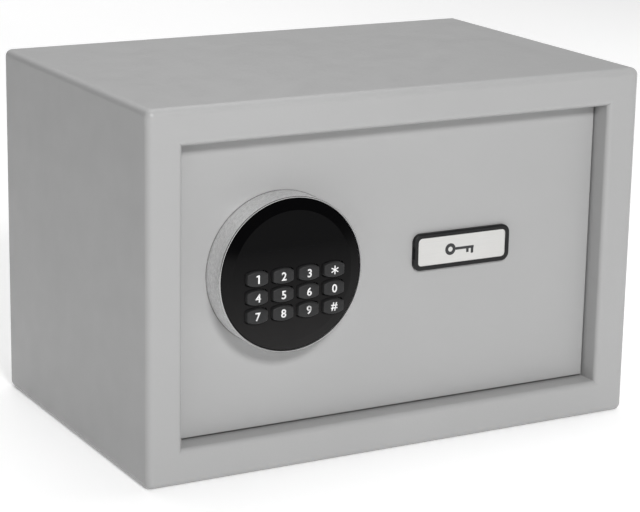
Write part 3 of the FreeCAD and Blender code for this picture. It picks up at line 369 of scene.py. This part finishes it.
FINISHES = {
    "powder_coat": powder_coat("body_powder_coat", BODY_GREY),
    "cover_coat": powder_coat("cover_powder_coat", (0.34, 0.345, 0.35)),
    "zinc_steel": zinc_plate("zinc_steel", (0.60, 0.60, 0.58)),
    "bright_steel": turned_metal("bright_steel", (0.62, 0.62, 0.63)),
    "bezel_metal": bezel_aluminium("bezel_aluminium", (0.88, 0.88, 0.88)),
    "plate_metal": brushed_metal("plate_aluminium", PLATE_SILVER, scale=(60.0, 900.0, 6200.0),
                                 roughness=(0.38, 0.5)),
    # The face's second colour is a painted reflection of the pale floor, laid on its lower part.
    "face_plastic": gloss_face("face_plastic", (0.0012, 0.0012, 0.0014), (0.027, 0.026, 0.026)),
    "black_plastic": moulded("black_plastic", (0.0065, 0.0065, 0.007), specular=0.3),
    "key_rubber": soft_rubber("key_rubber", (0.013, 0.013, 0.0135), specular=0.35),
    "black_rubber": soft_rubber("black_rubber", (0.016, 0.016, 0.016)),
    "web_rubber": soft_rubber("web_rubber", (0.30, 0.30, 0.31)),
    "carpet": carpet("mat_felt", (0.045, 0.047, 0.053)),
    "brass": turned_metal("turned_brass", (0.72, 0.53, 0.26)),
    "bearing_plastic": moulded("bearing_nylon", (0.62, 0.60, 0.54)),
    "gear_plastic": moulded("gear_acetal", (0.70, 0.69, 0.65)),
    "board_laminate": solder_mask("board_laminate", (0.012, 0.095, 0.045)),
    "component_plastic": moulded("component_plastic", (0.022, 0.022, 0.024)),
    "display_lens": display_lens("display_lens", (0.07, 0.006, 0.006)),
    "cell_wrap": cell_sleeve("cell_sleeve", (0.03, 0.035, 0.05)),
    "contact_metal": zinc_plate("nickel_contacts", (0.72, 0.70, 0.64)),
    "red_plastic": moulded("red_plastic", (0.50, 0.02, 0.015), rough=(0.25, 0.35), coat=0.4),
    "lead_sleeve": moulded("lead_sleeve", (0.02, 0.02, 0.021)),
}
# The thin seal round the keypad is greyer than the other rubber parts that share its slot.
SEAL_RUBBER = soft_rubber("seal_rubber", (0.17, 0.17, 0.17))


def finish_cad_nodes():
    for part in frame["record"]["subparts"]:
        node = frame["nodes"][part["node"]]
        material = FINISHES[part["material_slot"]]
        if part["node"] == "bezel_gasket":
            material = SEAL_RUBBER
        if not node.material_slots:
            node.data.materials.append(material)
        for slot in node.material_slots:
            slot.material = material


# ---------------------------------------------------------------- pieces
def placed(name, data):
    """An object for the data, in the scene."""
    item = bpy.data.objects.new(name, data)
    bpy.context.scene.collection.objects.link(item)
    return item


def new_piece(name, mesh, body, slot):
    """A piece with a slot's finish that rides a body."""
    mesh.materials.append(FINISHES[slot])
    piece = placed(name, mesh)
    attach(piece, body)
    return piece


KEY_RIM = 0.6 * MM                          # rounding of a key's top edge
KEY_CROWN = 0.4 * MM                        # rise of a key's top from edge to middle
KEY_CORNER = 1.0 * MM                       # radius of a key's corners, seen from the front
KEY_BOW = 1.1 * MM                          # rise of a key's upper and lower edges at the middle
KEY_SIDE, KEY_END = 0.7 * MM, 0.5 * MM      # from the CAD key's box to the wall, across and upwards
KEY_SETBACK = 0.04 * MM                     # the legend stands out from the key's top by this much
FLANGE_OVERHANG = 0.45 * MM                 # the flange behind the face, past the wall
FLANGE_FRONT, FLANGE_BACK = 3.0 * MM, 2.0 * MM      # its two faces, ahead of the key's back end
CORNER_STEPS, BOW_STEPS, RIM_STEPS = 4, 6, 4
CROWN_RINGS = (0.85, 0.65, 0.42, 0.2)       # rings on a key's top, as shares of its outline
HARD_EDGE = math.radians(40)                # sharper edges than this aren't shaded smooth

LEGEND_HEIGHT = 4.5 * MM
STAR_HEIGHT = 4.6 * MM
LEGEND_DEPTH = 0.3 * MM
GLYPH_WEIGHT = 0.018                        # extra stroke width of the built-in font
SAME_POINT = 1e-5                           # points of a letter nearer than this are one


def finished_mesh(name, shape):
    """The bmesh turned into a mesh, and freed."""
    mesh = bpy.data.meshes.new(name)
    shape.to_mesh(mesh)
    shape.free()
    return mesh


def barrel_ring(half_width, half_height, grow, scale=1.0):
    """Points of a barrel outline, grown outwards: short straight sides, bowed top and bottom."""
    w, h = half_width - KEY_CORNER, half_height - KEY_BOW - KEY_CORNER
    reach = KEY_CORNER + grow
    quarter = []
    lean = math.radians(90) - math.atan(2 * KEY_BOW / w)    # a corner turns this far
    for step in range(CORNER_STEPS + 1):
        angle = lean * step / CORNER_STEPS
        quarter.append((w + reach * math.cos(angle), h + reach * math.sin(angle)))
    for step in range(1, BOW_STEPS + 1):
        t = 1 - step / BOW_STEPS
        normal = Vector((2 * KEY_BOW * t / w, 1.0)).normalized()
        quarter.append((w * t + reach * normal.x, h + KEY_BOW * (1 - t * t) + reach * normal.y))
    upper = quarter + [(-x, z) for x, z in reversed(quarter[:-1])]
    return [(x * scale, z * scale) for x, z in upper + [(-x, -z) for x, z in upper]]


def key_mesh(name, centre, half_width, half_height, top, flange_front, flange_back):
    """A moulded key: flange, upright wall, rounded edge, crowned top."""
    edge = top + KEY_CROWN
    levels = [(FLANGE_OVERHANG, flange_back), (FLANGE_OVERHANG, flange_front),
              (0.0, flange_front), (0.0, edge + KEY_RIM)]
    for step in range(1, RIM_STEPS + 1):
        angle = math.pi / 2 * step / RIM_STEPS
        levels.append((-KEY_RIM * (1 - math.cos(angle)), edge + KEY_RIM * (1 - math.sin(angle))))
    outlines = [(barrel_ring(half_width, half_height, grow), y) for grow, y in levels]
    for share in CROWN_RINGS:
        outline = barrel_ring(half_width, half_height, -KEY_RIM, share)
        outlines.append((outline, top + KEY_CROWN * share ** 2))
    shell = bmesh.new()
    rings = []
    for outline, y in outlines:
        rings.append([shell.verts.new((centre.x + x, y, centre.z + z)) for x, z in outline])
    count = len(rings[0])
    for lower, upper in zip(rings, rings[1:]):
        for step in range(count):
            after = (step + 1) % count
            shell.faces.new((lower[step], upper[step], upper[after], lower[after]))
    shell.faces.new(list(reversed(rings[0])))
    middle = shell.verts.new((centre.x, top, centre.z))
    for step in range(count):
        shell.faces.new((rings[-1][step], middle, rings[-1][(step + 1) % count]))
    bmesh.ops.recalc_face_normals(shell, faces=shell.faces)
    for face in shell.faces:
        face.smooth = True
    for edge in shell.edges:
        if len(edge.link_faces) == 2 and edge.calc_face_angle() > HARD_EDGE:
            edge.smooth = False
    return finished_mesh(name, shell)


def star_outline(arms, half_stroke):
    """A star of equal arms across a circle of diameter one."""
    points = []
    gap = math.pi / arms
    valley = half_stroke / math.sin(gap)
    for arm in range(arms):
        angle = math.pi / 2 + 2 * gap * arm
        points.append((valley * math.cos(angle - gap), valley * math.sin(angle - gap)))
        for side in (-half_stroke, half_stroke):
            points.append((0.5 * math.cos(angle) - side * math.sin(angle),
                           0.5 * math.sin(angle) + side * math.cos(angle)))
    return points


# The two signs that the built-in font draws unlike real keys, in shares of the sign's height.
DRAWN_SIGNS = {
    "star": star_outline(arms=6, half_stroke=0.066),
    "1": [(0.17, -0.5), (0.17, 0.5), (-0.03, 0.5), (-0.24, 0.42),
          (-0.24, 0.27), (-0.03, 0.33), (-0.03, -0.5)],
}


def thickened(name, shape, depth):
    """Gives flat faces a depth towards the back."""
    sides = bmesh.ops.extrude_face_region(shape, geom=shape.faces[:])
    moved = [item for item in sides["geom"] if isinstance(item, bmesh.types.BMVert)]
    bmesh.ops.translate(shape, verts=moved, vec=(0, depth, 0))
    bmesh.ops.recalc_face_normals(shape, faces=shape.faces)
    return finished_mesh(name, shape)


def drawn_sign(name, outline, centre, height, front, depth):
    """A sign from an outline of our own, its middle at centre, facing the front."""
    shape = bmesh.new()
    points = [(centre.x + x * height, front, centre.z + z * height) for x, z in outline]
    shape.faces.new([shape.verts.new(point) for point in points])
    shape.normal_update()                   # triangulate needs the normal of a face with hollows
    bmesh.ops.triangulate(shape, faces=shape.faces)
    return thickened(name, shape, depth)


def glyph_mesh(name, text, centre, height, front, depth):
    """A character standing in the front plane, its middle at centre, facing the front."""
    curve = bpy.data.curves.new(name, "FONT")
    curve.body = text
    curve.align_x, curve.align_y = "CENTER", "CENTER"
    curve.size = 1.0
    curve.offset = GLYPH_WEIGHT
    carrier = placed(name + "_drawing", curve)
    bpy.context.view_layer.update()
    drawn = carrier.evaluated_get(bpy.context.evaluated_depsgraph_get())
    flat = bpy.data.meshes.new_from_object(drawn)
    bpy.data.objects.remove(carrier)
    shape = bmesh.new()
    shape.from_mesh(flat)
    bmesh.ops.remove_doubles(shape, verts=shape.verts, dist=SAME_POINT)
    xs = [vert.co.x for vert in shape.verts]
    ys = [vert.co.y for vert in shape.verts]
    scale = height / (max(ys) - min(ys))
    middle_x, middle_y = (max(xs) + min(xs)) / 2, (max(ys) + min(ys)) / 2
    for vert in shape.verts:
        x, y = vert.co.x - middle_x, vert.co.y - middle_y
        vert.co = Vector((centre.x + x * scale, front, centre.z + y * scale))
    return thickened(name, shape, depth)


def keypad():
    """A cap and a legend for each key body; the cap stands for the CAD key."""
    ink = legend_ink()
    for body in frame["bodies"]:
        if not body.startswith("key_"):
            continue
        sign = body[len("key_"):]
        low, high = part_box(body)
        centre = Vector(((low.x + high.x) / 2, 0, (low.z + high.z) / 2))
        half_width = (high.x - low.x) / 2 - KEY_SIDE
        half_height = (high.z - low.z) / 2 - KEY_END
        mesh = key_mesh(body + "_cap", centre, half_width, half_height, low.y + KEY_SETBACK,
                        high.y - FLANGE_FRONT, high.y - FLANGE_BACK)
        cap = new_piece(body + "_cap", mesh, body, "key_rubber")
        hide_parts(body)
        name = body + "_legend"
        height = STAR_HEIGHT if sign == "star" else LEGEND_HEIGHT
        if sign in DRAWN_SIGNS:
            legend = drawn_sign(name, DRAWN_SIGNS[sign], centre, height, low.y, LEGEND_DEPTH)
        else:
            text = "#" if sign == "hash" else sign
            legend = glyph_mesh(name, text, centre, height, low.y, LEGEND_DEPTH)
        legend.materials.append(ink)
        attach(placed(name, legend), body)


def cover_marking():
    """A plain key pictogram, printed on the plate to show that the override lock is behind it."""
    low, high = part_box("cover_plate")
    middle = (low + high) / 2
    proud, depth = 0.03 * MM, 0.06 * MM     # how far the print stands out, and its whole depth
    bow_radius, hole_radius = 3.3 * MM, 1.4 * MM
    length, stem = 15.0 * MM, 0.75 * MM     # bow's middle to tip; half the stem's width
    bits = ((10.2 * MM, 2.1 * MM), (13.2 * MM, 2.8 * MM))   # each bit's start and drop
    bit_width = 1.6 * MM
    shape = bmesh.new()
    centre = Vector((middle.x - length / 2, low.y - proud, middle.z))
    count = 40                              # points round the bow
    outer, inner = [], []
    for step in range(count):
        angle = 2 * math.pi * step / count
        for ring, radius in ((outer, bow_radius), (inner, hole_radius)):
            offset = Vector((radius * math.cos(angle), 0, radius * math.sin(angle)))
            ring.append(shape.verts.new(centre + offset))
    for step in range(count):
        after = (step + 1) % count
        shape.faces.new((outer[step], outer[after], inner[after], inner[step]))

    def bar(x0, x1, z0, z1):
        corners = ((x0, z0), (x1, z0), (x1, z1), (x0, z1))
        shape.faces.new([shape.verts.new(centre + Vector((x, 0, z))) for x, z in corners])

    bar(bow_radius, length, -stem, stem)
    for start, drop in bits:
        bar(start, start + bit_width, -stem - drop, -stem)
    mesh = thickened("cover_pictogram", shape, depth)
    new_piece("cover_pictogram", mesh, "override_cover", "component_plastic")


MAT_PITCH = 1.6 * MM                        # size of the mat's mesh cells
MAT_MARGIN = 3.0 * MM                       # from a fixing hole's edge to the mat's own hole
MAT_EDGE_WIDTH, MAT_EDGE_DROP = 3.0 * MM, 1.2 * MM
MAT_SLACK = 0.5 * MM                        # felt below the CAD mat's top, before nap and swell
NAP_HEIGHT, NAP_SCALE, NAP_SLICE = 0.45 * MM, 700, 3.0
SWELL_HEIGHT, SWELL_SCALE, SWELL_SLICE = 0.4 * MM, 30, 9.0


def mat_top(place, inset):
    """The felt's top over the CAD mat's top, never above zero, at this distance from an edge."""
    nap = noise.noise(Vector((place.x * NAP_SCALE, place.y * NAP_SCALE, NAP_SLICE)))
    nap = NAP_HEIGHT * (nap - 0.5)
    swell = noise.noise(Vector((place.x * SWELL_SCALE, place.y * SWELL_SCALE, SWELL_SLICE)))
    swell = SWELL_HEIGHT * swell
    round_off = MAT_EDGE_DROP * max(0.0, 1 - inset / MAT_EDGE_WIDTH) ** 2
    return min(0.0, nap + swell - round_off - MAT_SLACK)


def floor_mat():
    """Needled felt mat: soft edge, uneven nap, clearance holes over the floor fixings."""
    low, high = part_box("interior_mat")
    pitch = MAT_PITCH
    snap = 0.6 * pitch                      # points this near a hole's edge move onto it
    columns = round((high.x - low.x) / pitch)
    rows = round((high.y - low.y) / pitch)
    fixings = next(m for m in frame["record"]["mounts"] if m["name"] == "base_fixings")
    spacing = fixings["dims"]["spacing_x_mm"] * MM
    hole_radius = fixings["dims"]["hole_r_mm"] * MM + MAT_MARGIN
    holes = [Vector((sign * spacing / 2, fixings["pos_m"][1])) for sign in (-1, 1)]
    sheet = bmesh.new()
    grid = {}                               # each point's upper and lower vertex
    for i in range(columns + 1):
        for j in range(rows + 1):
            place = Vector((low.x + (high.x - low.x) * i / columns,
                            low.y + (high.y - low.y) * j / rows))
            inset = min(i, j, columns - i, rows - j) * pitch
            hidden = False
            for hole in holes:
                offset = place - hole
                hidden = hidden or offset.length < hole_radius - snap
                if abs(offset.length - hole_radius) <= snap:
                    place = hole + offset.normalized() * hole_radius
                inset = min(inset, max(0.0, offset.length - hole_radius))
            if not hidden:
                upper = sheet.verts.new((place.x, place.y, high.z + mat_top(place, inset)))
                grid[i, j] = (upper, sheet.verts.new((place.x, place.y, low.z)))
    for i in range(columns):
        for j in range(rows):
            corners = [(i, j), (i + 1, j), (i + 1, j + 1), (i, j + 1)]
            if all(corner in grid for corner in corners):
                sheet.faces.new([grid[corner][0] for corner in corners])
                sheet.faces.new([grid[corner][1] for corner in reversed(corners)])
    rim = [edge for edge in sheet.edges if len(edge.link_faces) == 1]
    lower_of = {upper: lower for upper, lower in grid.values()}
    for edge in rim:
        first, second = edge.verts
        if first in lower_of and second in lower_of:
            sheet.faces.new((first, second, lower_of[second], lower_of[first]))
    loose = [vert for vert in sheet.verts if not vert.link_faces]
    bmesh.ops.delete(sheet, geom=loose, context="VERTS")
    bmesh.ops.recalc_face_normals(sheet, faces=sheet.faces)
    for face in sheet.faces:
        face.smooth = True
    piece = new_piece("felt_mat", finished_mesh("felt_mat", sheet), "safe_body", "carpet")
    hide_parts("interior_mat")


# ---------------------------------------------------------------- studio
CAMERA_PLACE = Vector((-0.599, -1.0830, 0.418))
CAMERA_YAW = math.radians(28.99)            # turned right of straight ahead
CAMERA_PITCH = math.radians(15.01)          # looking down
CAMERA_ROLL = math.radians(1.06)
LENS, SENSOR_WIDTH = 126.06, 36.0           # both in millimetres

# Each light's name, place, target, size in metres and power in watts.
LIGHTS = (
    ("key", (-0.31, -1.46, 1.02), (0.0, -0.05, 0.1), (0.45, 0.3), 20.8),
    ("overhead", (0.1, 0.25, 1.5), (0.1, 0.25, 0.0), (1.3, 1.0), 10.0),
    ("right_fill", (1.55, 0.25, 0.45), (0.0, 0.0, 0.1), (0.8, 0.8), 4.5),
    ("backdrop_light", (0.0, 2.3, 1.7), (0.1, 2.6, 0.0), (2.6, 1.4), 26.0),
)
WORLD_STRENGTH = 0.20
FLOOR_HALF = 6.0


def studio_camera():
    data = bpy.data.cameras.new("studio_camera")
    data.lens = LENS
    data.sensor_width = SENSOR_WIDTH
    camera = placed("studio_camera", data)
    yaw = Matrix.Rotation(-CAMERA_YAW, 4, "Z")
    pitch = Matrix.Rotation(math.pi / 2 - CAMERA_PITCH, 4, "X")
    roll = Matrix.Rotation(CAMERA_ROLL, 4, "Z")
    camera.matrix_world = Matrix.Translation(CAMERA_PLACE) @ (yaw @ pitch) @ roll
    bpy.context.scene.camera = camera


def soft_light(name, place, target, size, power):
    data = bpy.data.lights.new(name, "AREA")
    data.shape = "RECTANGLE"
    data.size, data.size_y = size
    data.energy = power
    light = placed(name, data)
    light.location = place
    light.rotation_mode = "QUATERNION"
    light.rotation_quaternion = (Vector(target) - Vector(place)).to_track_quat("-Z", "Y")


def studio():
    world = bpy.data.worlds.new("pale_studio")
    world.use_nodes = True
    background = world.node_tree.nodes["Background"]
    background.inputs["Color"].default_value = WHITE
    background.inputs["Strength"].default_value = WORLD_STRENGTH
    bpy.context.scene.world = world
    for light in LIGHTS:
        soft_light(*light)
    half = FLOOR_HALF
    corners = [(-half, -half, 0), (half, -half, 0), (half, half, 0), (-half, half, 0)]
    mesh = bpy.data.meshes.new("studio_floor")
    mesh.from_pydata(corners, [], [(0, 1, 2, 3)])
    mesh.materials.append(studio_floor("studio_floor"))
    floor = placed("studio_floor", mesh)
    bpy.context.scene.view_settings.view_transform = "Standard"


studio_camera()
studio()
finish_cad_nodes()
keypad()
cover_marking()
floor_mat()
